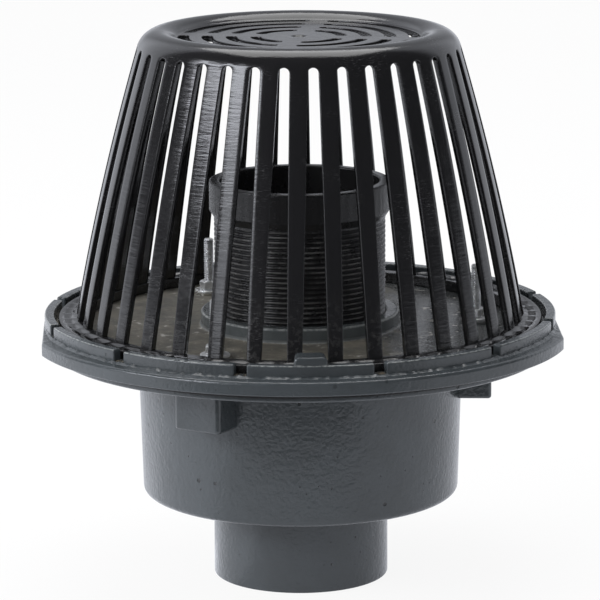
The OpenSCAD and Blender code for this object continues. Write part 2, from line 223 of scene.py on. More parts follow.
def room_light(tree, direction, shader, table=None):
    """Feeds the room to a Background or Emission shader, and returns the kinds of ray.

    The camera sees plain white. A mirror sees the cool walls of a dim room, and the object is lit
    by the same walls in a room that is light on every side.
    """
    rays = add_node(tree, "ShaderNodeLightPath").outputs
    sides = add_node(tree, "ShaderNodeGroup", node_tree=room_sides)
    tree.links.new(direction, sides.inputs["Direction"])
    if table is not None:
        tree.links.new(table, sides.inputs["Table"])
    level = ramp(tree, rays["Is Diffuse Ray"], 0.0, 1.0, mirrored_level, lighting_level)
    tree.links.new(level, sides.inputs["Level"])
    strength = add_node(tree, "ShaderNodeMix", data_type="FLOAT", B=1.0)
    tree.links.new(rays["Is Camera Ray"], strength.inputs["Factor"])
    tree.links.new(sides.outputs["Strength"], strength.inputs["A"])
    tree.links.new(strength.outputs["Result"], shader.inputs["Strength"])
    tint = mix_colour(tree, rays["Is Glossy Ray"], (1.0, 1.0, 1.0), (0.95, 0.98, 1.06))
    tree.links.new(tint, shader.inputs["Color"])
    return rays


room = bpy.data.worlds.new("room")
bpy.context.scene.world = room
room.use_nodes = True
tree = room.node_tree
tree.nodes.clear()
sky = add_node(tree, "ShaderNodeBackground")
room_light(tree, add_node(tree, "ShaderNodeTexCoord").outputs["Generated"], sky)
tree.links.new(sky.outputs[0], add_node(tree, "ShaderNodeOutputWorld").inputs[0])

floor_mesh = bpy.data.meshes.new("floor")
far = 15.0
floor_mesh.from_pydata([(-far, -far, 0), (far, -far, 0), (far, far, 0), (-far, far, 0)], [], [(0, 1, 2, 3)])
floor = bpy.data.objects.new("floor", floor_mesh)
bpy.context.scene.collection.objects.link(floor)

# White to the camera but for a little plain paper that takes the drain's shadow. In a mirror it
# is as bright as the wall beyond it, or white up to its front edge and greyer far behind.
white_table = bpy.data.materials.new("white_table")
white_table.use_nodes = True
tree = white_table.node_tree
tree.nodes.clear()
glow_share = 0.9
paper = add_node(tree, "ShaderNodeBsdfDiffuse", Color=(0.62, 0.62, 0.63, 1))
spot = add_node(tree, "ShaderNodeTexCoord").outputs["Object"]
outwards = add_node(tree, "ShaderNodeVectorMath", operation="NORMALIZE")
tree.links.new(spot, outwards.inputs[0])
along = split(tree, spot)["Y"]
table_light = calc(tree, "MULTIPLY", ramp(tree, along, -0.45, -0.41), ramp(tree, along, 0.8, 2.0, 1.0, 0.55))
glow = add_node(tree, "ShaderNodeEmission")
rays = room_light(tree, outwards.outputs[0], glow, table_light)
seen = calc(tree, "MAXIMUM", rays["Is Camera Ray"], rays["Is Glossy Ray"])
blend = add_node(tree, "ShaderNodeMixShader")
tree.links.new(calc(tree, "MULTIPLY", seen, glow_share), blend.inputs[0])
tree.links.new(paper.outputs[0], blend.inputs[1])
tree.links.new(glow.outputs[0], blend.inputs[2])
tree.links.new(blend.outputs[0], add_node(tree, "ShaderNodeOutputMaterial").inputs[0])
floor_mesh.materials.append(white_table)


# ---------------------------------------------------------------- drain body
# The lower casting: a wide flange with three stud lugs under it, a slightly tapered sump and a
# plain outlet. Grey iron cast in sand, bored and faced, then dipped in glossy grey-blue enamel,
# so the skin of the sand mould shows through the paint as a fine orange peel with a few pits.

body_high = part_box("drain_body")[1]
outlet_mount = [m for m in frame["record"]["mounts"] if m["name"] == "outlet"][0]
outlet_r = outlet_mount["dims"]["r_mm"] * mm
outlet_wall = 5.3 * mm
outlet_l = 55 * mm
sump_r = 100.5 * mm
sump_top_r = 103.2 * mm
sump_wall = 6.5 * mm
flange_t = 8 * mm
flange_r = body_high[0]
plate_z = body_high[2]
flange_z = plate_z - flange_t
stud_circle_r = 112 * mm
lug_face = 121.5 * mm
lug_half_w = 16.2 * mm
lug_h = 31 * mm
stud_angles = np.radians([2.4, 122.4, 242.4])
lug_angles = stud_angles - math.radians(4)


def rounded(corners, radii, steps=6, support=0.4 * mm):
    """A closed outline through corners (r, z), each corner turned into an arc.

    The arc touches both edges at radius / tan(half the corner's angle) from the corner. A
    support point just beyond each end of the arc keeps the straight stretches flat.
    """
    corners = np.array(corners, float)
    radii = np.array(radii, float)[:, None]
    to_last = np.roll(corners, 1, axis=0) - corners
    to_next = np.roll(corners, -1, axis=0) - corners
    to_last /= np.linalg.norm(to_last, axis=1, keepdims=True)
    to_next /= np.linalg.norm(to_next, axis=1, keepdims=True)
    half = 0.5 * np.arccos(np.clip((to_last * to_next).sum(1, keepdims=True), -0.9999, 0.9999))
    reach = radii / np.tan(half)
    inward = to_last + to_next
    inward /= np.linalg.norm(inward, axis=1, keepdims=True)
    centre = corners + inward * radii / np.sin(half)
    start = corners + to_last * reach - centre
    end = corners + to_next * reach - centre
    sweep = (math.pi - 2 * half)[:, :, None]
    share = np.linspace(0, 1, steps)[None, :, None]
    bow = (np.sin((1 - share) * sweep) * start[:, None] + np.sin(share * sweep) * end[:, None])
    arcs = centre[:, None] + bow / np.sin(sweep)
    before = (corners + to_last * (reach + support))[:, None]
    after = (corners + to_next * (reach + support))[:, None]
    return np.concatenate([before, arcs, after], axis=1).reshape(-1, 2)


def grid(points, wrap_rows=False, wrap_columns=False):
    """Quads between the neighbours of a grid of points, shaped (rows, columns, 3).

    A face points towards column step x row step. Wrapping joins the last row or column to the
    first. Faces come as a list of arrays, each with one row for every face.
    """
    rows, columns = points.shape[:2]
    i = np.arange(rows if wrap_rows else rows - 1)[:, None]
    j = np.arange(columns if wrap_columns else columns - 1)[None, :]
    here, up = i * columns, (i + 1) % rows * columns
    side = (j + 1) % columns
    quads = np.stack([here + j, here + side, up + side, up + j], axis=-1).reshape(-1, 4)
    return points.reshape(-1, 3), [quads]


def ends_of(count, points):
    """Two flat faces that close the first and the last row of a grid with that many columns."""
    return [np.arange(count)[None, ::-1], np.arange(len(points) - count, len(points))[None]]


def lathe(outline, columns):
    """A closed outline of (r, z) turned about Z: x = r cos a, y = r sin a for each column's angle a."""
    a = np.linspace(0, 2 * math.pi, columns, endpoint=False)[None, :]
    r, z = outline[:, :1], outline[:, 1:]
    points = np.stack([r * np.cos(a), r * np.sin(a), z + 0 * a], axis=-1)
    return grid(points, wrap_rows=True, wrap_columns=True)


def block(low, high, corner, edge, place, steps=5, across=7, support=0.3 * mm):
    """A box with rounded upright corners and rounded upper and lower edges.

    Its outline is a rectangle with quarter-circle corners, one radius each from (+x, +y) round.
    Up the block the outline is drawn in by edge (1 - cos t) while it rises by edge sin t, and
    place(x, y, z) puts it on the drain.
    """
    low, high = np.array(low), np.array(high)
    corner = np.broadcast_to(corner, 4)
    t = np.linspace(0, math.pi / 2, steps)
    inset = np.concatenate([[edge + support], edge * (1 - np.sin(t)), [0, 0], edge * (1 - np.cos(t)),
                            [edge + support]])
    rise = np.concatenate([[0], edge * (1 - np.cos(t)), [edge + support]])
    rise = np.concatenate([low[2] + rise, high[2] - rise[::-1]])
    signs = np.array([(1, 1), (-1, 1), (-1, -1), (1, -1)])
    centres = np.where(signs > 0, high[:2], low[:2]) - signs * corner[:, None]
    a = np.linspace(0, math.pi / 2, steps)[None] + np.arange(4)[:, None] * math.pi / 2
    rays = np.stack([np.cos(a), np.sin(a)], axis=-1)
    # Where the edge is rounder than a corner, the corner keeps a small radius that still shrinks.
    least = 0.02 * mm + 0.1 * (inset.max() - inset)
    reach = np.maximum(corner[None, :, None] - inset[:, None, None], least[:, None, None])
    arcs = centres[None, :, None] + rays[None] * reach[..., None]
    # Points along the four sides keep the long ones flat, and a bent block round.
    share = np.concatenate([[0, 0.02], np.linspace(0, 1, across + 1)[1:-1], [0.98]])[:, None]
    sides = arcs[:, :, -1:] * (1 - share) + np.roll(arcs[:, :, :1], -1, axis=1) * share
    flat = np.concatenate([arcs[:, :, :-1], sides], axis=2).reshape(len(inset), -1, 2)
    z = np.repeat(rise[:, None], flat.shape[1], axis=1)
    points, faces = grid(np.stack(place(flat[..., 0], flat[..., 1], z), axis=-1), wrap_columns=True)
    return points, faces + ends_of(flat.shape[1], points)


def make_piece(name, surfaces, material, body, slot, *nodes):
    """Joins closed surfaces (points, faces) in a smooth object that rides on a body in its nodes' place."""
    points = np.concatenate([p for p, _ in surfaces])
    faces = []
    start = 0
    for its_points, its_faces in surfaces:
        for same_kind in its_faces:
            faces += (same_kind + start).tolist()
        start += len(its_points)
    mesh = bpy.data.meshes.new(name)
    mesh.from_pydata(points.tolist(), [], faces)
    mesh.validate()
    mesh.shade_smooth()
    mesh.materials.append(material)
    piece = bpy.data.objects.new(name, mesh)
    bpy.context.scene.collection.objects.link(piece)
    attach(piece, body)
    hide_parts(*nodes)
    return piece


def noise(tree, place, scale, detail=4.0, roughness=0.55, distortion=0.0):
    """The value, from 0 to 1, of a noise of that many features a metre."""
    made = add_node(tree, "ShaderNodeTexNoise", Scale=scale, Detail=detail, Roughness=roughness,
                    Distortion=distortion)
    tree.links.new(place, made.inputs["Vector"])
    return made.outputs["Fac"]


# Sand-cast skin under paint: a height for the bump, masks for pits, and a cloud for the colour.
cast_skin, group_in, group_out = shader_group(
    "cast_skin", {"Place": "NodeSocketVector", "Pitting": "NodeSocketFloat"},
    {"Height": "NodeSocketFloat", "Pits": "NodeSocketFloat", "Cloud": "NodeSocketFloat"})
place = group_in.outputs["Place"]
peel = noise(cast_skin, place, 420, 3, 0.5)
swell = noise(cast_skin, place, 150, 2, 0.5)
cloud = noise(cast_skin, place, 22, 4, 0.6)
grit = noise(cast_skin, place, 1500, 2, 0.5)
height = calc(cast_skin, "MULTIPLY", peel, 0.55)
for layer, share in ((swell, 0.45), (grit, 0.04)):
    height = calc(cast_skin, "ADD", height, calc(cast_skin, "MULTIPLY", layer, share))


def pit_dots(cells_a_metre, size):
    """A dot in each cell of a Voronoi pattern, up to a size, by the cell's own random number."""
    cells = add_node(cast_skin, "ShaderNodeTexVoronoi", Scale=cells_a_metre)
    cast_skin.links.new(place, cells.inputs["Vector"])
    chance = split(cast_skin, cells.outputs["Color"])[0]
    reach = calc(cast_skin, "MULTIPLY", ramp(cast_skin, chance, 0.5, 1.0), size)
    inside = calc(cast_skin, "SUBTRACT", reach, cells.outputs["Distance"])
    dots = add_node(cast_skin, "ShaderNodeClamp")
    cast_skin.links.new(calc(cast_skin, "MULTIPLY", inside, 25.0), dots.inputs[0])
    return dots.outputs[0]


single_pits = pit_dots(95.0, 0.15)
clustered_pits = calc(cast_skin, "MULTIPLY", pit_dots(260.0, 0.20), ramp(cast_skin, cloud, 0.50, 0.62))
pits = calc(cast_skin, "MAXIMUM", single_pits, clustered_pits)
pits = calc(cast_skin, "MULTIPLY", pits, group_in.outputs["Pitting"])
height = calc(cast_skin, "SUBTRACT", height, calc(cast_skin, "MULTIPLY", pits, 0.6))
cast_skin.links.new(height, group_out.inputs["Height"])
cast_skin.links.new(pits, group_out.inputs["Pits"])
cast_skin.links.new(cloud, group_out.inputs["Cloud"])


def enamel(name, bump, pitting, gloss):
    """Grey-blue enamel on the cast skin. Returns what a piece may add to."""
    material = bpy.data.materials.new(name)
    material.use_nodes = True
    tree = material.node_tree
    shader = tree.nodes["Principled BSDF"]
    at = add_node(tree, "ShaderNodeTexCoord").outputs["Object"]
    skin = add_node(tree, "ShaderNodeGroup", node_tree=cast_skin)
    tree.links.new(at, skin.inputs["Place"])
    skin.inputs["Pitting"].default_value = pitting
    colour = mix_colour(tree, ramp(tree, skin.outputs["Cloud"], 0.3, 0.7),
                        (0.033, 0.038, 0.042), (0.042, 0.049, 0.055))
    colour = mix_colour(tree, skin.outputs["Pits"], colour, (0.012, 0.014, 0.015))
    rough = ramp(tree, skin.outputs["Cloud"], 0.25, 0.75, gloss, gloss + 0.07)
    relief = add_node(tree, "ShaderNodeBump", Strength=1.0, Distance=bump)
    tree.links.new(skin.outputs["Height"], relief.inputs["Height"])
    tree.links.new(relief.outputs["Normal"], shader.inputs["Normal"])
    tree.links.new(colour, shader.inputs["Base Color"])
    tree.links.new(rough, shader.inputs["Roughness"])
    return material, tree, shader, at, colour, rough


body_enamel, tree, shader, at, colour, rough = enamel("body_enamel", 0.6 * mm, 1.0, 0.15)
# Painted shade: the gap under the plate's lip is painted near-black and rougher, down to the lower part of
# the flange's side.
in_gap = ramp(tree, split(tree, at)["Z"], flange_z + 2.2 * mm, flange_z + 3.2 * mm)
gap_painted_shade = calc(tree, "MULTIPLY", in_gap, ramp(tree, noise(tree, at, 120, 4, 0.6), 0.1, 0.4, 0.7, 1.0))
tree.links.new(mix_colour(tree, gap_painted_shade, colour, (0.008, 0.008, 0.009)), shader.inputs["Base Color"])
tree.links.new(calc(tree, "MAXIMUM", rough, calc(tree, "MULTIPLY", gap_painted_shade, 0.7)), shader.inputs["Roughness"])

body_outline = rounded(
    [(outlet_r - outlet_wall, 0), (outlet_r, 0), (outlet_r, outlet_l), (sump_r, outlet_l),
     (sump_top_r, flange_z), (flange_r, flange_z), (flange_r, plate_z),
     (sump_top_r - sump_wall, plate_z), (sump_r - sump_wall, outlet_l + sump_wall),
     (outlet_r - outlet_wall, outlet_l + sump_wall)],
    [0.8 * mm, 1 * mm, 4 * mm, 4 * mm, 3 * mm, 1.5 * mm, 0.6 * mm, 0.6 * mm, 4 * mm, 3 * mm])


def lug_place(angle):
    """Puts a block whose x points outwards at an angle about the axis."""
    def place(x, y, z):
        return (x * math.cos(angle) - y * math.sin(angle), x * math.sin(angle) + y * math.cos(angle), z)
    return place


lugs = [block((sump_r - 2 * mm, -lug_half_w, flange_z - lug_h), (lug_face, lug_half_w, flange_z + 1 * mm),
              2.5 * mm, 1.6 * mm, lug_place(angle)) for angle in lug_angles]
make_piece("body_casting", [lathe(body_outline, 240)] + lugs, body_enamel, "drain", "body", "drain_body")


# ---------------------------------------------------------------- clamp plate
# The upper casting: it clamps the roofing onto the body's flange and carries the dome. A ring
# with a turned-down lip, a notched gravel guard with two hooks for the dome, a threaded hub in
# the middle. Cast and painted as the body is, with dust and dried scale lying on its floor.

plate_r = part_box("clamp_plate")[1][1]
sunk = 0.15 * mm
flat_x = 162.6 * mm
lip_z = plate_z + 7.3 * mm
lip_low_z = plate_z - 1.1 * mm
lip_in_r = flange_r + 2 * mm
floor_z = plate_z + 6.5 * mm
ledge_z = plate_z + 8.5 * mm
guard_in_r = 156 * mm
guard_r = 162 * mm
guard_z = plate_z + 15.7 * mm
notch_w = 7.5 * mm
notch_count = 12
hook_turn = front + math.radians(2.25)
hook_in_r = 146 * mm
hook_out_r = 161.4 * mm
hook_z = plate_z + 14 * mm
hook_half_w = 10 * mm
hook_t = 6.5 * mm
hub_in_r = 54.4 * mm
hub_r = 63 * mm
hub_low_z = plate_z - 12 * mm
hub_z = plate_z + 16 * mm
boss_r = 10.65 * mm
boss_z = floor_z + 1.2 * mm

plate_outline = rounded(
    [(hub_in_r, hub_low_z), (hub_r, hub_low_z), (hub_r, plate_z), (lip_in_r, plate_z), (lip_in_r, lip_low_z),
     (plate_r, lip_low_z), (plate_r, lip_z), (guard_r + 2.6 * mm, ledge_z - 0.6 * mm),
     (guard_r + 0.4 * mm, ledge_z + 0.6 * mm), (guard_in_r + sunk, ledge_z + 0.6 * mm),
     (guard_in_r + sunk, floor_z), (hub_r, floor_z), (hub_r, hub_z), (hub_in_r, hub_z)],
    [0.8 * mm, 1 * mm, 1.5 * mm, 0.3 * mm, 0.2 * mm, 0.7 * mm, 2 * mm, 0.7 * mm, 0.3 * mm, 0.3 * mm, 1.2 * mm,
     2 * mm, 1.5 * mm, 1.2 * mm], steps=5, support=0.2 * mm)
plate_points, plate_quads = lathe(plate_outline, 720)
# The ledge outside the guard is rough from the sand: its height wanders by a sum of sines of
# whole multiples of the angle, each with its own weight, strongest next to the guard.
plate_a = np.arctan2(plate_points[:, 1], plate_points[:, 0])
plate_rr = np.hypot(plate_points[:, 0], plate_points[:, 1])
wander_waves = ((23, 3), (41, 3.5), (67, 3), (113, 2.5), (171, 2.5), (251, 3))
wander = sum(np.sin(plate_a * n + 1.7 * n) / weight for n, weight in wander_waves)
on_ledge = (plate_points[:, 2] > lip_z - 2.5 * mm) & (plate_rr > guard_r)
fade = np.clip((plate_rr - guard_r) / (4 * mm), 0, 1)
plate_points[:, 2] += np.where(on_ledge, wander * (0.45 * mm * (1 - fade) + 0.07 * mm), 0)
# Two flats trim the lip close to the guard: there the radii outside the guard are drawn in to
# the flat's distance over the cosine of the angle from it.
trim = flat_x / np.maximum(np.abs(np.cos(plate_a - hook_turn - math.pi / 2)), 0.5)
edge_r = np.minimum(plate_r, trim)
outside = np.maximum(plate_rr - guard_r, 0)
drawn_in = np.where(outside > 0, (guard_r + outside * (edge_r - guard_r) / (plate_r - guard_r)) / plate_rr, 1)
plate_points[:, :2] *= drawn_in[:, None]


def bent_place(angle, radius):
    """Bends a block round the axis: x is the radius, y an arc at the given radius from the angle."""
    def place(x, y, z):
        a = angle + y / radius
        return (x * np.cos(a), x * np.sin(a), z)
    return place


def face_place(angle, radius):
    """Stands a block up: x is an arc from the angle, y the height and z the radius."""
    def place(x, y, z):
        a = angle + x / radius
        return (z * np.cos(a), z * np.sin(a), y)
    return place


guard_mid_r = (guard_in_r + guard_r) / 2
segment_half = math.pi * guard_mid_r / notch_count - notch_w / 2
plate_surfaces = [(plate_points, plate_quads)]
for segment in range(notch_count):
    angle = hook_turn + segment * 2 * math.pi / notch_count
    plate_surfaces.append(block((guard_in_r, -segment_half, floor_z - 0.6 * mm),
                                (guard_r, segment_half, guard_z),
                                1.0 * mm, 1.2 * mm, bent_place(angle, guard_mid_r), across=16))
# A hook is a tongue over the dome's ring with rounded upper corners, on a root in the guard.
for angle in (hook_turn, hook_turn + math.pi):
    plate_surfaces.append(block((-hook_half_w, hook_z, hook_in_r),
                                (hook_half_w, hook_z + hook_t, hook_out_r),
                                (3 * mm, 3 * mm, 0.8 * mm, 0.8 * mm), 1.3 * mm,
                                face_place(angle, guard_mid_r)))
    plate_surfaces.append(block((-hook_half_w + sunk, ledge_z - 2 * mm, guard_in_r - 0.1 * mm),
                                (hook_half_w - sunk, hook_z + 3.4 * mm, hook_out_r - 0.1 * mm),
                                0.8 * mm, 0.8 * mm, face_place(angle, guard_mid_r)))


def at_stud(surface, angle):
    """Moves a surface made round Z to the stud at that angle."""
    points, faces = surface
    centre = [stud_circle_r * math.cos(angle), stud_circle_r * math.sin(angle), 0]
    return points + np.array(centre), faces


boss = lathe(rounded([(3.6 * mm, floor_z - 1 * mm), (boss_r + 0.5 * mm, floor_z - 1 * mm), (boss_r, boss_z),
                      (3.6 * mm, boss_z)], [0.2 * mm, 0.2 * mm, 0.5 * mm, 0.3 * mm]), 64)
plate_surfaces += [at_stud(boss, angle) for angle in stud_angles]


def length(tree, a, b):
    """The length of a step whose two square parts are a and b."""
    return calc(tree, "SQRT", calc(tree, "ADD", calc(tree, "MULTIPLY", a, a), calc(tree, "MULTIPLY", b, b)))


# Where a point is about the drain's axis: its distance from it and its height.
about_axis, group_in, group_out = shader_group(
    "about_axis", {"Place": "NodeSocketVector"}, {"Radius": "NodeSocketFloat", "Height": "NodeSocketFloat"})
across, along, up = split(about_axis, group_in.outputs["Place"])
about_axis.links.new(length(about_axis, across, along), group_out.inputs["Radius"])
about_axis.links.new(up, group_out.inputs["Height"])

plate_enamel, tree, shader, at, colour, rough = enamel("plate_enamel", 0.5 * mm, 0.5, 0.17)
where = add_node(tree, "ShaderNodeGroup", node_tree=about_axis)
tree.links.new(at, where.inputs["Place"])
radius, height = where.outputs

# Dust and dried scale lie where the plate is level, low and inside the guard. Water has washed
# most of the dust off the right side.
silt_dark = (0.085, 0.080, 0.066)
silt_pale = (0.150, 0.138, 0.112)
scale_white = (0.40, 0.39, 0.37)
inside = ramp(tree, radius, 155.5 * mm, 156.6 * mm, 1.0, 0.0)
low = ramp(tree, height, floor_z + 1.4 * mm, floor_z + 3.0 * mm, 1.0, 0.0)
flow = calc(tree, "MULTIPLY", noise(tree, at, 34, 4, 0.6), 60 * mm)
washed = ramp(tree, calc(tree, "ADD", split(tree, at)["X"], flow), 68 * mm, 96 * mm, 1.0, 0.22)
on_floor = calc(tree, "MULTIPLY", inside, low)
dusty = calc(tree, "MULTIPLY", on_floor, washed)
film = ramp(tree, noise(tree, at, 60, 6, 0.65), 0.30, 0.62, 0.6, 1.0)
silt = mix_colour(tree, ramp(tree, noise(tree, at, 95, 5, 0.7), 0.35, 0.65), silt_dark, silt_pale)
colour = mix_colour(tree, calc(tree, "MULTIPLY", dusty, film), colour, silt)
scale = ramp(tree, noise(tree, at, 120, 6, 0.7), 0.58, 0.68)
colour = mix_colour(tree, calc(tree, "MULTIPLY", on_floor, scale), colour, scale_white)

# The hub's painted side is filmed with dust. Its edges and those of the guard are painted pale in broken
# lines, partly worn paint and partly painted highlight.
dust_film = (0.075, 0.084, 0.088)
worn_paint_and_highlight = (0.19, 0.20, 0.20)
near_hub = ramp(tree, radius, hub_r + 0.4 * mm, hub_r + 0.8 * mm, 1.0, 0.0)
on_hub = calc(tree, "MULTIPLY", near_hub, ramp(tree, height, floor_z, floor_z + 0.5 * mm))
colour = mix_colour(tree, calc(tree, "MULTIPLY", on_hub, film), colour, dust_film)
# Pale edge lines: partly worn paint, partly painted highlight along the edges.
for edge_at_r, edge_at_z, reach in ((hub_r, hub_z, 1.5 * mm), (hub_r, floor_z, 1.3 * mm),
                                    (guard_r, guard_z, 0.9 * mm), (guard_in_r, guard_z, 0.9 * mm)):
    off = length(tree, calc(tree, "SUBTRACT", radius, edge_at_r), calc(tree, "SUBTRACT", height, edge_at_z))
    broken_line = ramp(tree, noise(tree, at, 420, 4, 0.7), 0.35, 0.62)
    wear_and_highlight = calc(tree, "MULTIPLY", ramp(tree, off, reach * 0.5, reach, 1.0, 0.0), broken_line)
    colour = mix_colour(tree, wear_and_highlight, colour, worn_paint_and_highlight)

# A little rust shows in the bottoms of the guard's notches.
notch_rust = (0.13, 0.105, 0.070)
sill = calc(tree, "MULTIPLY", ramp(tree, radius, 155.8 * mm, 157 * mm),
            ramp(tree, radius, 161.0 * mm, 161.9 * mm, 1.0, 0.0))
sill = calc(tree, "MULTIPLY", sill, ramp(tree, height, ledge_z + 0.2 * mm, ledge_z + 0.8 * mm, 1.0, 0.0))
rust = calc(tree, "MULTIPLY", sill, ramp(tree, noise(tree, at, 90, 4, 0.6), 0.42, 0.6))
colour = mix_colour(tree, rust, colour, notch_rust)
dull = calc(tree, "MULTIPLY", calc(tree, "MAXIMUM", dusty, rust), 0.6)
tree.links.new(colour, shader.inputs["Base Color"])
tree.links.new(calc(tree, "MAXIMUM", rough, dull), shader.inputs["Roughness"])

make_piece("plate_casting", plate_surfaces, plate_enamel, "drain", "plate", "clamp_plate")


# ---------------------------------------------------------------- studs, washers and nuts
# Three zinc-plated studs screwed into the body's lugs stand up through the plate. A washer and
# a hexagon nut on each clamp the two castings together.

stud_r = 3.175 * mm
stud_low_z, stud_high_z = [corner[2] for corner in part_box("stud_1")]
stud_pitch = 1.27 * mm
stud_depth = 0.68 * mm
washer_r = 9.3 * mm
washer_low_z, washer_high_z = [corner[2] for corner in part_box("washer_1")]
nut_flat = 5.55 * mm
nut_low_z, nut_high_z = [corner[2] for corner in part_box("clamp_nut_1")]
nut_turns = np.radians([8, 31, 52])


def thread(radius, depth, pitch, low, high, fade_low, fade_high, rows_a_turn, columns):
    """Radius, height and angle of a right-handed thread.

    The radius is the crest's less depth * (1 - wave). The wave is a raised cosine of height over
    pitch less angle over a turn, cut off flat at the crests, and it fades away to nothing below
    fade_low and above fade_high.
    """
    z = np.arange(low, high, pitch / rows_a_turn)[:, None]
    a = np.linspace(0, 2 * math.pi, columns, endpoint=False)[None, :]
    wave = 0.5 + 0.5 * np.cos(2 * math.pi * (z / pitch - a / (2 * math.pi)))
    wave = np.clip(wave * 1.25, 0, 1)
    fade = np.clip((z - fade_low) / pitch, 0, 1) * np.clip((fade_high - z) / pitch, 0, 1)
    return radius - depth * (1 - wave) * fade, z + 0 * a, a + 0 * z


def capped(r, z, a):
    """A surface from grids of radius, height and angle, with flat faces over its first and last rows."""
    points, faces = grid(np.stack([r * np.cos(a), r * np.sin(a), z], axis=-1), wrap_columns=True)
    return points, faces + ends_of(r.shape[1], points)


r, z, a = thread(stud_r, stud_depth, stud_pitch, stud_low_z + 0.7 * mm, stud_high_z - 0.7 * mm,
                 nut_low_z - 3 * mm, stud_high_z, 8, 28)
ends = np.ones((1, r.shape[1]))
r = np.concatenate([ends * (stud_r - 0.7 * mm), r, ends * (stud_r - 0.55 * mm), ends * (stud_r - 0.9 * mm),
                    ends * (stud_r - 1.2 * mm)])
z = np.concatenate([ends * stud_low_z, z, ends * (stud_high_z - 0.4 * mm), ends * (stud_high_z - 0.05 * mm),
                    ends * stud_high_z])
stud_surface = capped(r, z, np.repeat(a[:1], len(r), axis=0))

washer_hole_r = 3.57 * mm
washer_outline = rounded(
    [(washer_hole_r, washer_low_z), (washer_r, washer_low_z), (washer_r, washer_high_z),
     (washer_hole_r, washer_high_z)],
    [0.1 * mm, 0.2 * mm, 0.45 * mm, 0.2 * mm], support=0.15 * mm)
washer_surface = lathe(washer_outline, 72)


def hexagon(turn):
    """A nut: radius flat / cos(angle from the nearest flat's middle), held inside a cone at either face."""
    near_corner = np.radians([-30, -29, -28, -24, -16, -8, 0, 8, 16, 24, 28, 29])
    from_flat = np.tile(near_corner, 6)
    a = from_flat + np.repeat(np.arange(6), len(near_corner)) * math.pi / 3 + turn
    flat_to_corner = np.minimum(nut_flat / np.cos(from_flat), nut_flat / math.cos(math.radians(28.6)))
    bore = 3.2 * mm
    chamfer = nut_flat * 0.97
    height = np.array([0, 0, 0.15, 0.5, 0.9, 1.4]) * mm
    z = np.concatenate([nut_low_z + height, nut_high_z - height[::-1]])
    reach = np.array([0, 0.0, 0.15, 0.62, 1.2, 2.2]) * mm
    limit = chamfer + np.concatenate([reach, reach[::-1]])
    r = np.minimum(flat_to_corner[None], limit[:, None])
    r[0], r[-1] = bore + 0.5 * mm, bore + 0.5 * mm
    r = np.concatenate([np.full((1, len(a)), bore), r, np.full((1, len(a)), bore)])
    z = np.concatenate([[nut_low_z + 0.5 * mm], z, [nut_high_z - 0.5 * mm]])
    points = np.stack([r * np.cos(a), r * np.sin(a), z[:, None] + 0 * r], axis=-1)
    return grid(points, wrap_rows=True, wrap_columns=True)


# Bright zinc plating that has bloomed in duller clouds.
zinc_bright = (0.86, 0.87, 0.88)
zinc_bloom = (0.60, 0.61, 0.63)
zinc = bpy.data.materials.new("zinc_plating")
zinc.use_nodes = True
tree = zinc.node_tree
shader = tree.nodes["Principled BSDF"]
at = add_node(tree, "ShaderNodeTexCoord").outputs["Object"]
bloom = noise(tree, at, 160, 4, 0.6)
colour = mix_colour(tree, ramp(tree, bloom, 0.35, 0.7), zinc_bright, zinc_bloom)
tree.links.new(colour, shader.inputs["Base Color"])
tree.links.new(ramp(tree, bloom, 0.3, 0.7, 0.24, 0.42), shader.inputs["Roughness"])
shader.inputs["Metallic"].default_value = 0.75
relief = add_node(tree, "ShaderNodeBump", Strength=0.5, Distance=0.06 * mm)
tree.links.new(noise(tree, at, 1400, 2, 0.5), relief.inputs["Height"])
tree.links.new(relief.outputs["Normal"], shader.inputs["Normal"])

for index, angle in enumerate(stud_angles):
    number = index + 1
    nut_surface = hexagon(angle + nut_turns[index])
    make_piece(f"threaded_stud_{number}", [at_stud(stud_surface, angle)], zinc,
               "drain", "fasteners", f"stud_{number}")
    make_piece(f"plain_washer_{number}", [at_stud(washer_surface, angle)], zinc,
               "drain", "fasteners", f"washer_{number}")
    make_piece(f"hexagon_nut_{number}", [at_stud(nut_surface, angle)], zinc,
               "drain", "fasteners", f"clamp_nut_{number}")


# ---------------------------------------------------------------- overflow standpipe
# A moulded black plastic pipe with a coarse thread that screws down into the plate's hub. Its
# rim stands above the roof as the overflow level. Satin, with the thread's crests painted lighter: partly
# scuffs, partly painted highlight.

pipe_low, pipe_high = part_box("overflow_standpipe")
pipe_bore_r = 50.5 * mm
pipe_thread_r = 54.25 * mm
pipe_thread_depth = 1.25 * mm
pipe_pitch = 3.175 * mm
collar_r = pipe_high[0]
rim_z = pipe_high[2]
collar_low_z = rim_z - 18 * mm
slope_z = collar_low_z - 5.3 * mm

pipe_columns = 144
r, z, a = thread(pipe_thread_r, pipe_thread_depth, pipe_pitch, pipe_low[2] + 1.2 * mm, slope_z - 0.5 * mm,
                 pipe_low[2], slope_z, 8, pipe_columns)
corner_rows = 8          # the points that rounded() gives a corner
collar = rounded([(pipe_bore_r, pipe_low[2] + 1.0 * mm), (collar_r, collar_low_z), (collar_r, rim_z),
                  (pipe_bore_r, rim_z)],
                 [0.2 * mm, 2 * mm, 1.1 * mm, 1.1 * mm])[corner_rows:]
edge = np.array([(pipe_bore_r, pipe_low[2] + 60 * mm), (pipe_bore_r, pipe_low[2] + 1 * mm),
                 (pipe_bore_r + 0.6 * mm, pipe_low[2]), (pipe_thread_r - 1.5 * mm, pipe_low[2])])
slope = np.array([(pipe_thread_r, slope_z), (pipe_thread_r + 0.25 * mm, slope_z + 0.8 * mm)])
ones = np.ones((1, pipe_columns))
r = np.concatenate([edge[:, :1] * ones, r, slope[:, :1] * ones, collar[:, :1] * ones])
z = np.concatenate([edge[:, 1:] * ones, z, slope[:, 1:] * ones, collar[:, 1:] * ones])
a = np.repeat(a[:1], len(r), axis=0)
pipe_surface = grid(np.stack([r * np.cos(a), r * np.sin(a), z], axis=-1), wrap_rows=True, wrap_columns=True)


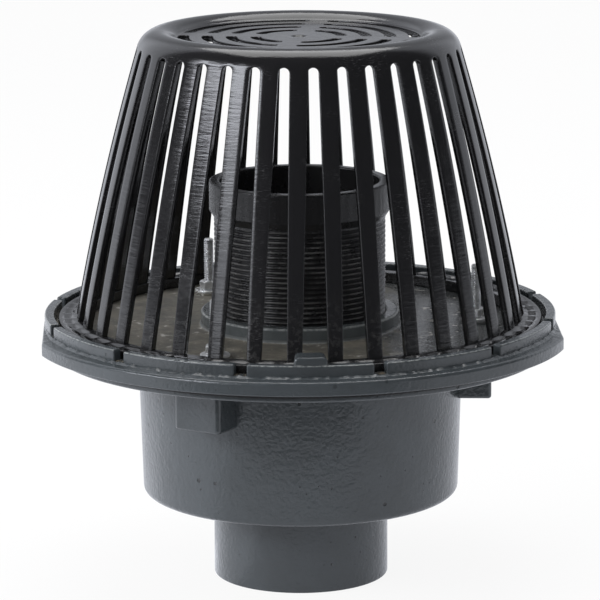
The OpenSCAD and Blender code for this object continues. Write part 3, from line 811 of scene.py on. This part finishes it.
# The skin of a plastic moulding: flow clouds, fine scuffs that run across, and shallow ripples.
moulded_skin, group_in, group_out = shader_group(
    "moulded_skin", {"Place": "NodeSocketVector"},
    {"Ripples": "NodeSocketFloat", "Scuffs": "NodeSocketFloat", "Cloud": "NodeSocketFloat"})
place = group_in.outputs["Place"]
flattened = add_node(moulded_skin, "ShaderNodeMapping")
flattened.inputs["Scale"].default_value = (0.35, 0.35, 3.0)
moulded_skin.links.new(place, flattened.inputs["Vector"])
level = flattened.outputs[0]
ripples = noise(moulded_skin, level, 50, 3, 0.6, 0.3)
fine = noise(moulded_skin, level, 230, 3, 0.65)
scratch = noise(moulded_skin, level, 900, 2, 0.6)
cloud = noise(moulded_skin, place, 35, 4, 0.6)
spread = ramp(moulded_skin, noise(moulded_skin, place, 26, 3, 0.6), 0.5, 0.68)
scuffs = calc(moulded_skin, "MULTIPLY", ramp(moulded_skin, scratch, 0.55, 0.75), spread)
relief = calc(moulded_skin, "ADD", calc(moulded_skin, "MULTIPLY", ripples, 0.6),
              calc(moulded_skin, "MULTIPLY", fine, 0.4))
moulded_skin.links.new(relief, group_out.inputs["Ripples"])
moulded_skin.links.new(scuffs, group_out.inputs["Scuffs"])
moulded_skin.links.new(cloud, group_out.inputs["Cloud"])


def black_plastic(name, base, gloss):
    """Black moulded plastic, clouded and finely scuffed. Returns what a piece may add to."""
    material = bpy.data.materials.new(name)
    material.use_nodes = True
    tree = material.node_tree
    shader = tree.nodes["Principled BSDF"]
    at = add_node(tree, "ShaderNodeTexCoord").outputs["Object"]
    skin = add_node(tree, "ShaderNodeGroup", node_tree=moulded_skin)
    tree.links.new(at, skin.inputs["Place"])
    colour = mix_colour(tree, skin.outputs["Scuffs"], base, tuple(c * 3 + 0.02 for c in base))
    rough = ramp(tree, skin.outputs["Cloud"], 0.3, 0.7, gloss, gloss + 0.08)
    rough = calc(tree, "ADD", rough, calc(tree, "MULTIPLY", skin.outputs["Scuffs"], 0.25))
    tree.links.new(colour, shader.inputs["Base Color"])
    tree.links.new(rough, shader.inputs["Roughness"])
    return material, tree, shader, at, skin, colour, rough


pipe_black = (0.011, 0.011, 0.012)
scuffed_and_highlit_black = (0.075, 0.075, 0.075)
pipe_plastic, tree, shader, at, skin, colour, rough = black_plastic("pipe_plastic", pipe_black, 0.22)
# The thread's crests are painted lighter: partly scuffs from screwing the pipe up and down, partly painted
# highlight.
where = add_node(tree, "ShaderNodeGroup", node_tree=about_axis)
tree.links.new(at, where.inputs["Place"])
radius, height = where.outputs
crest_scuff_and_highlight = calc(tree, "MULTIPLY", ramp(tree, radius, pipe_thread_r - 0.30 * mm, pipe_thread_r - 0.05 * mm),
             ramp(tree, height, slope_z, slope_z - 2 * mm))
crest_scuff_and_highlight = calc(tree, "MULTIPLY", crest_scuff_and_highlight, ramp(tree, noise(tree, at, 80, 4, 0.65), 0.35, 0.6))
tree.links.new(mix_colour(tree, crest_scuff_and_highlight, colour, scuffed_and_highlit_black), shader.inputs["Base Color"])
relief = add_node(tree, "ShaderNodeBump", Strength=0.6, Distance=0.10 * mm)
tree.links.new(skin.outputs["Ripples"], relief.inputs["Height"])
tree.links.new(relief.outputs["Normal"], shader.inputs["Normal"])
make_piece("threaded_pipe", [pipe_surface], pipe_plastic, "standpipe", "standpipe", "overflow_standpipe")


# ---------------------------------------------------------------- dome strainer
# One black plastic moulding: a base ring that turns under the plate's hooks, thirty-six leaning
# bars that keep leaves out, and a dished top with rings of slots and the mark of the gate.

dome_low, dome_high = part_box("dome_strainer")
ring_low_z = dome_low[2]
ring_z = ring_low_z + 6.7 * mm
ring_r = 153.3 * mm
ring_in_r = 137 * mm
foot_r = 142 * mm
crest_z = dome_high[2]
crest_r = 87.5 * mm
shoulder_r = 14.5 * mm
wall = 4 * mm
shoulder_z = crest_z - shoulder_r
side_bulge = 2.3 * mm
dish_z = crest_z - 4.7 * mm
under_z = dish_z - wall
bar_count = 36
bar_turn = front + math.radians(-0.2)
bar_step = 2 * math.pi / bar_count
bar_low_z = ring_z - 1.5 * mm
gap_z = ring_z + 0.5 * mm
gap_round_z = 337.5 * mm
gap_half = 3.44 * mm
gap_left = 10.61 * mm
gap_right = 4.93 * mm
soft = 0.6 * mm

side_rise = shoulder_z - ring_z
side_run = foot_r - crest_r
side_angle = math.atan2(side_run, side_rise) - math.asin(shoulder_r / math.hypot(side_run, side_rise))
lean = np.array([math.cos(side_angle), math.sin(side_angle)])
side_foot = np.array([foot_r, ring_z])
side_top = np.array([crest_r, shoulder_z]) + shoulder_r * lean


def outer_radius(z, depth):
    """Radius of the dome's side at a height, set in by a depth: a bulging cone, then the shoulder's arc."""
    t = np.linspace(-0.05, 1, 400)
    bulge = side_bulge * 4 * t * (1 - t)
    line = side_foot + (side_top - side_foot) * t[:, None] + (bulge - depth)[:, None] * lean
    arc_r = shoulder_r - depth
    on_arc = crest_r + np.sqrt(np.maximum(arc_r ** 2 - (z - shoulder_z) ** 2, 0))
    return np.where(z > line[-1, 1], on_arc, np.interp(z, line[:, 1], line[:, 0]))


def bar_surface():
    """The bars as one grid each: a loop round the bar for each height, leaning as its gaps do.

    A gap's two sides draw in linearly to its round top. There the rows follow the angle of the
    round: z = centre + (half + q) sin t, and the half-width is (half + q) cos t, where q goes
    from the softened edge to nothing at the side wall. At t = 90 degrees the bars meet.
    """
    heights = np.concatenate([[bar_low_z], np.linspace(gap_z, gap_round_z, 40)])
    t = np.concatenate([np.zeros(len(heights)), np.linspace(0, math.pi / 2, 9)[1:]])[:, None]
    base = np.concatenate([heights, np.full(8, gap_round_z)])[:, None]
    share = np.clip((base - gap_z) / (gap_round_z - gap_z), 0, 1)
    left = gap_left + (gap_half - gap_left) * share
    right = gap_right + (gap_half - gap_right) * share
    u = np.linspace(0, math.pi / 2, 4)
    # Round the loop: the face, the softened edge, the side wall, the inner face and back.
    across = np.concatenate([np.linspace(0, 1, 5), [1, 1, 1, 1], np.linspace(1, 0, 5)[1:], [0, 0, 0]])
    q = np.concatenate([np.full(5, soft), soft * (1 - np.sin(u[1:])), np.zeros(5),
                        soft * (1 - np.sin(u[:0:-1]))])
    depth = np.concatenate([np.zeros(5), soft * (1 - np.cos(u[1:])), [wall], np.full(4, wall),
                            soft * (1 - np.cos(u[:0:-1]))])
    z = base + (gap_half + q) * np.sin(t)
    inner = depth > wall / 2
    radius = np.where(inner, outer_radius(z, wall), outer_radius(z, 0) - depth)
    from_left = np.arcsin(np.clip((right + q) * np.cos(t) / radius, 0, 1))
    from_right = np.arcsin(np.clip((left + q) * np.cos(t) / radius, 0, 1))
    a = -bar_step / 2 + from_left + (bar_step - from_left - from_right) * across
    surfaces = []
    for bar in range(bar_count):
        turn = bar_turn + bar * bar_step
        points = np.stack([radius * np.cos(a + turn), radius * np.sin(a + turn), z], axis=-1)
        points, faces = grid(points, wrap_columns=True)
        surfaces.append((points, faces + ends_of(len(across), points)[:1]))
    return surfaces


dome_columns = 4 * bar_count
dome_a = bar_turn - bar_step / 2 + np.arange(dome_columns) * 2 * math.pi / dome_columns
slot_r = np.array([72.4, 57.3, 42.2, 27.1]) * mm
slot_half = 3.5 * mm
spoke_half = 5.75 * mm
dish_r = crest_r - math.sqrt(shoulder_r ** 2 - (dish_z - shoulder_z) ** 2)
bounds_r = np.array([dish_r, 64.85 * mm, 49.75 * mm, 34.65 * mm, 19.6 * mm])


def turned(outline):
    """Rows (r, z) turned about Z at the dome's column angles."""
    r, z = outline[:, :1], outline[:, 1:]
    points = np.stack([r * np.cos(dome_a), r * np.sin(dome_a), z + 0 * dome_a], axis=-1)
    return grid(points, wrap_columns=True)


def shoulder_surfaces():
    """The shoulder's outer arc from the gaps' tops to the dish, and its inner arc back, at depth wall."""
    low = math.asin((gap_round_z + gap_half + soft - shoulder_z) / shoulder_r)
    high = math.pi - math.asin((dish_z - shoulder_z) / shoulder_r)
    b = np.linspace(low, high, 22)
    outer = np.stack([crest_r + shoulder_r * np.cos(b), shoulder_z + shoulder_r * np.sin(b)], axis=1)
    inner_r = shoulder_r - wall
    low = math.asin((gap_round_z + gap_half - shoulder_z) / inner_r)
    high = math.pi - math.asin((under_z - shoulder_z) / inner_r)
    b = np.linspace(high, low, 14)
    inner = np.stack([crest_r + inner_r * np.cos(b), shoulder_z + inner_r * np.sin(b)], axis=1)
    inner = np.concatenate([[[bounds_r[0], under_z]], inner])
    return [turned(outer), turned(inner)]


def slot_surface(ring, quarter):
    """One quarter of a ring of the dish with its slot.

    Each point of the quarter's outline looks at the nearest point of the slot's middle line,
    an arc that stops short of the spokes, and the slot's edge lies on that line of sight.
    """
    start = dome_a[0] - 2 * 2 * math.pi / dome_columns + quarter * math.pi / 2
    turns = np.linspace(0, math.pi / 2, dome_columns // 4 + 1)
    far, near = bounds_r[ring], bounds_r[ring + 1]
    between = np.linspace(0, 1, 8)[:-1]
    r = np.concatenate([np.full(len(turns) - 1, far), far + (near - far) * between,
                        np.full(len(turns) - 1, near), near + (far - near) * between])
    a = start + np.concatenate([turns[:-1], np.full(7, math.pi / 2), turns[:0:-1], np.zeros(7)])
    outline = np.stack([r * np.cos(a), r * np.sin(a)], axis=1)
    stop = math.asin((spoke_half + slot_half) / slot_r[ring])
    middle_a = np.clip(a, start + stop, start + math.pi / 2 - stop)
    middle = slot_r[ring] * np.stack([np.cos(middle_a), np.sin(middle_a)], axis=1)
    sight = outline - middle
    sight /= np.linalg.norm(sight, axis=1, keepdims=True)
    rows = [np.column_stack([outline, np.full(len(outline), dish_z)])]
    for out, drop in ((0.75, 0), (0.5, 0), (0.25, 0.07), (0.07, 0.25), (0, 0.5)):
        edge = middle + sight * (slot_half + out * mm)
        rows.append(np.column_stack([edge, np.full(len(outline), dish_z - drop * mm)]))
    rows.append(np.column_stack([middle + sight * slot_half, np.full(len(outline), under_z)]))
    rows.append(np.column_stack([outline, np.full(len(outline), under_z)]))
    return grid(np.stack(rows), wrap_columns=True)


def centre_surfaces():
    """The solid middle of the dish with the shallow round mark of the mould's gate."""
    mark = np.array([(12, 0), (8, 0), (5.4, 0), (5.0, -0.03), (4.7, -0.2), (4.4, -0.6), (4.0, -0.78),
                     (3.2, -0.8), (1.4, -0.7), (1.0, -0.45), (0.5, -0.4)]) * mm + [0, dish_z]
    top, top_faces = turned(np.concatenate([[(bounds_r[-1], dish_z)], mark]))
    under, under_faces = turned(np.array([(1.0 * mm, under_z), (10 * mm, under_z), (bounds_r[-1], under_z)]))
    return [(top, top_faces + ends_of(dome_columns, top)[1:]),
            (under, under_faces + ends_of(dome_columns, under)[:1])]


def ring_surface():
    """The base ring: a rounded section turned about Z, with ratchet teeth in its top and two notches.

    The teeth drop by depth * (fraction of the tooth's pitch) over a band of radii. In a notch the
    radii outside the inner edge are drawn in towards it.
    """
    rows = rounded([(ring_in_r, ring_low_z), (ring_r, ring_low_z), (ring_r, ring_z), (ring_in_r, ring_z)],
                   [0.5 * mm, 0.8 * mm, 0.9 * mm, 0.6 * mm], support=0.12 * mm)
    top = np.array([(149.8 * mm, ring_z), (149.5 * mm, ring_z), (145.0 * mm, ring_z), (144.7 * mm, ring_z)])
    rows = np.concatenate([rows[:3 * corner_rows], top, rows[3 * corner_rows:]])
    degrees = np.arange(0, 360, 0.75)
    a = np.radians(degrees)
    r, z = rows[:, :1] + 0 * a, rows[:, 1:] + 0 * a
    saw = (degrees / 6) % 1
    saw = np.where(saw > 0.85, (1 - saw) / 0.15, saw / 0.85)
    gap_a = hook_turn - math.radians(30) + np.array([0, math.pi])[:, None]
    off = np.abs((a[None] - gap_a + math.pi) % (2 * math.pi) - math.pi).min(0)
    notch = np.clip((math.radians(5.4) - off) / math.radians(0.8), 0, 1)
    in_teeth = (rows[:, :1] > 144.9 * mm) & (rows[:, :1] < 149.6 * mm) & (rows[:, 1:] > ring_z - 0.1 * mm)
    z = z - np.where(in_teeth, 1.2 * mm * saw * (1 - notch), 0)
    drawn_in = ring_in_r + (r - ring_in_r) * (144.5 * mm - ring_in_r) / (ring_r - ring_in_r)
    r = r + (drawn_in - r) * notch
    return grid(np.stack([r * np.cos(a), r * np.sin(a), z], axis=-1), wrap_rows=True, wrap_columns=True)


dome_black = (0.009, 0.009, 0.010)
dust_grey = (0.07, 0.07, 0.068)
dome_plastic, tree, shader, at, skin, colour, rough = black_plastic("dome_plastic", dome_black, 0.11)
# A faint film of dust lies on the feet of the bars and on the base ring.
low = ramp(tree, split(tree, at)["Z"], ring_z + 55 * mm, ring_z)
dust = calc(tree, "MULTIPLY", ramp(tree, noise(tree, at, 300, 4, 0.6), 0.45, 0.75), low)
colour = mix_colour(tree, calc(tree, "MULTIPLY", dust, 0.25), colour, dust_grey)
tree.links.new(colour, shader.inputs["Base Color"])
tree.links.new(calc(tree, "ADD", rough, calc(tree, "MULTIPLY", dust, 0.12)), shader.inputs["Roughness"])
relief = add_node(tree, "ShaderNodeBump", Strength=1.0, Distance=0.22 * mm)
tree.links.new(skin.outputs["Ripples"], relief.inputs["Height"])
tree.links.new(relief.outputs["Normal"], shader.inputs["Normal"])

dome_surfaces = bar_surface() + shoulder_surfaces() + centre_surfaces()
dome_surfaces += [slot_surface(ring, quarter) for ring in range(len(slot_r)) for quarter in range(4)]
dome_surfaces.append(ring_surface())
dome = make_piece("dome_moulding", dome_surfaces, dome_plastic, "dome", "dome", "dome_strainer")
# The stretches of the moulding meet point on point, and are welded there.
welded = bmesh.new()
welded.from_mesh(dome.data)
bmesh.ops.remove_doubles(welded, verts=welded.verts, dist=0.004 * mm)
welded.to_mesh(dome.data)
welded.free()
